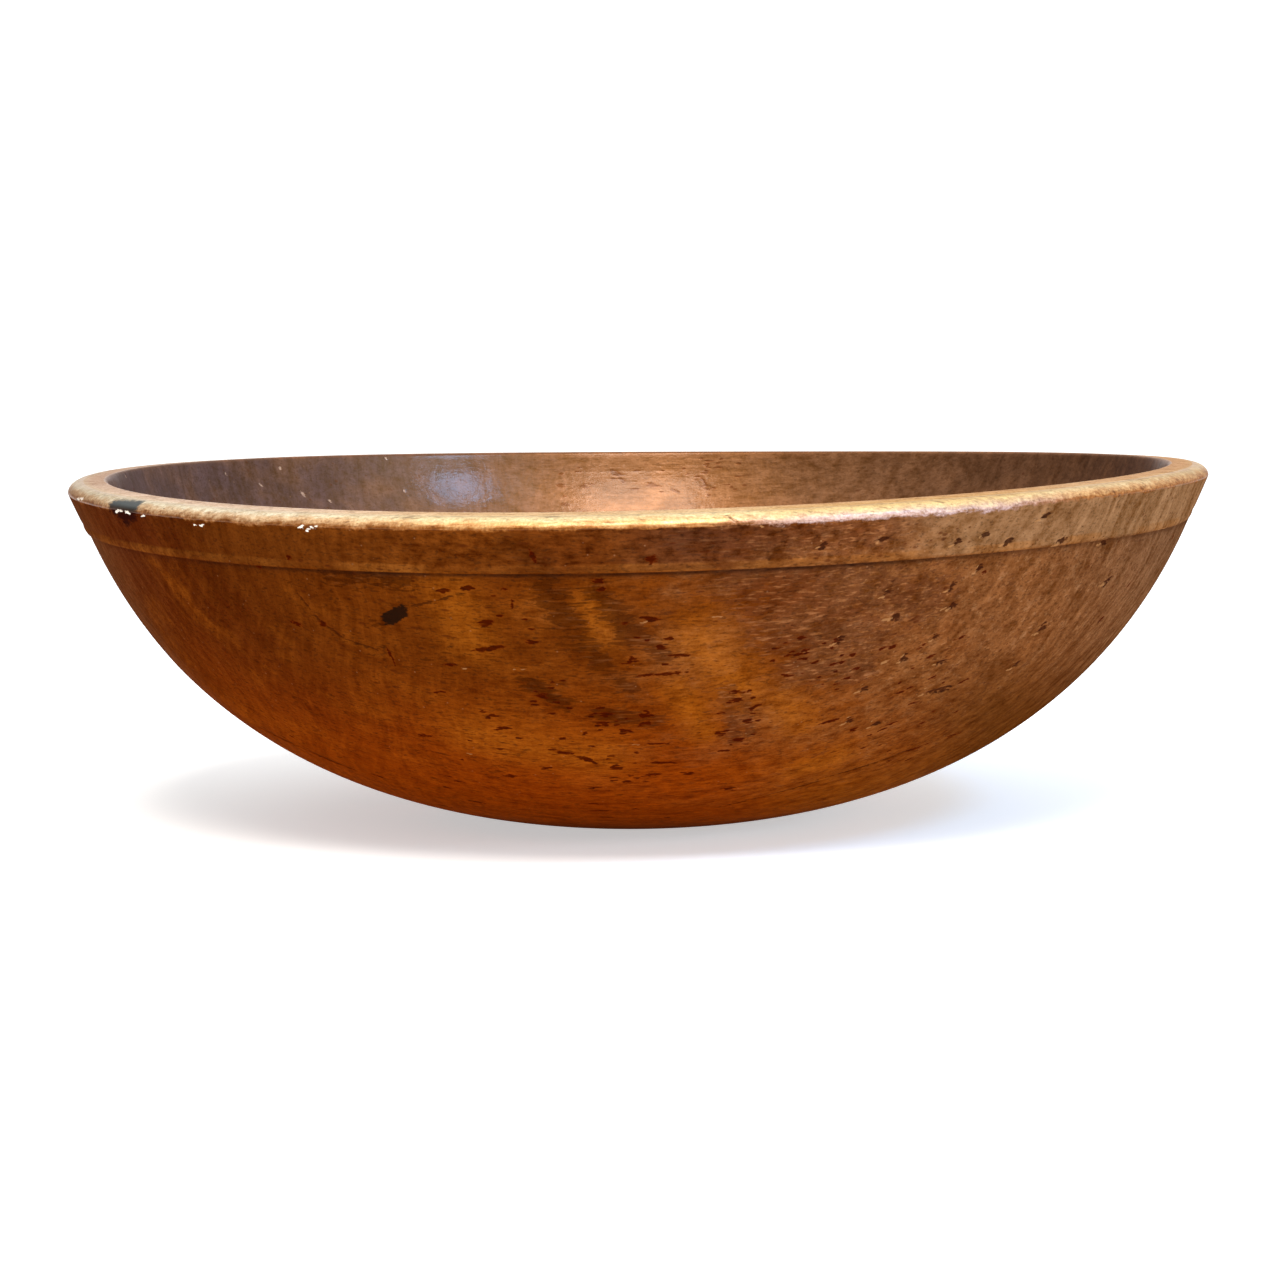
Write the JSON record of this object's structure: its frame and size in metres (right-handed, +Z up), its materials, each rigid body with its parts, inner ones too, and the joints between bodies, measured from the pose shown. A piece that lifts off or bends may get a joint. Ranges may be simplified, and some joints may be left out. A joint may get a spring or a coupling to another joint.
{
  "type": "wooden salad bowl",
  "caption": "Round wooden salad bowl turned from a single block, with a thick worn rim, a plain band and bead below it, a full rounded body and a small flat foot.",
  "frame": {"origin": "middle of the flat foot, on the surface that the bowl stands on", "axes": "+Z up out of the bowl's mouth; +X along the wide way of the rim, near the direction of the wood's fibres; the picture looks along +Y"},
  "size_m": [0.3044, 0.2964, 0.0939],
  "materials": {
    "wood": "old oil and shellac finish, satin on the body and worn to bare wood on the rim"
  },
  "bodies": {
    "root": {"bowl": "wood"}
  },
  "joints": []
}
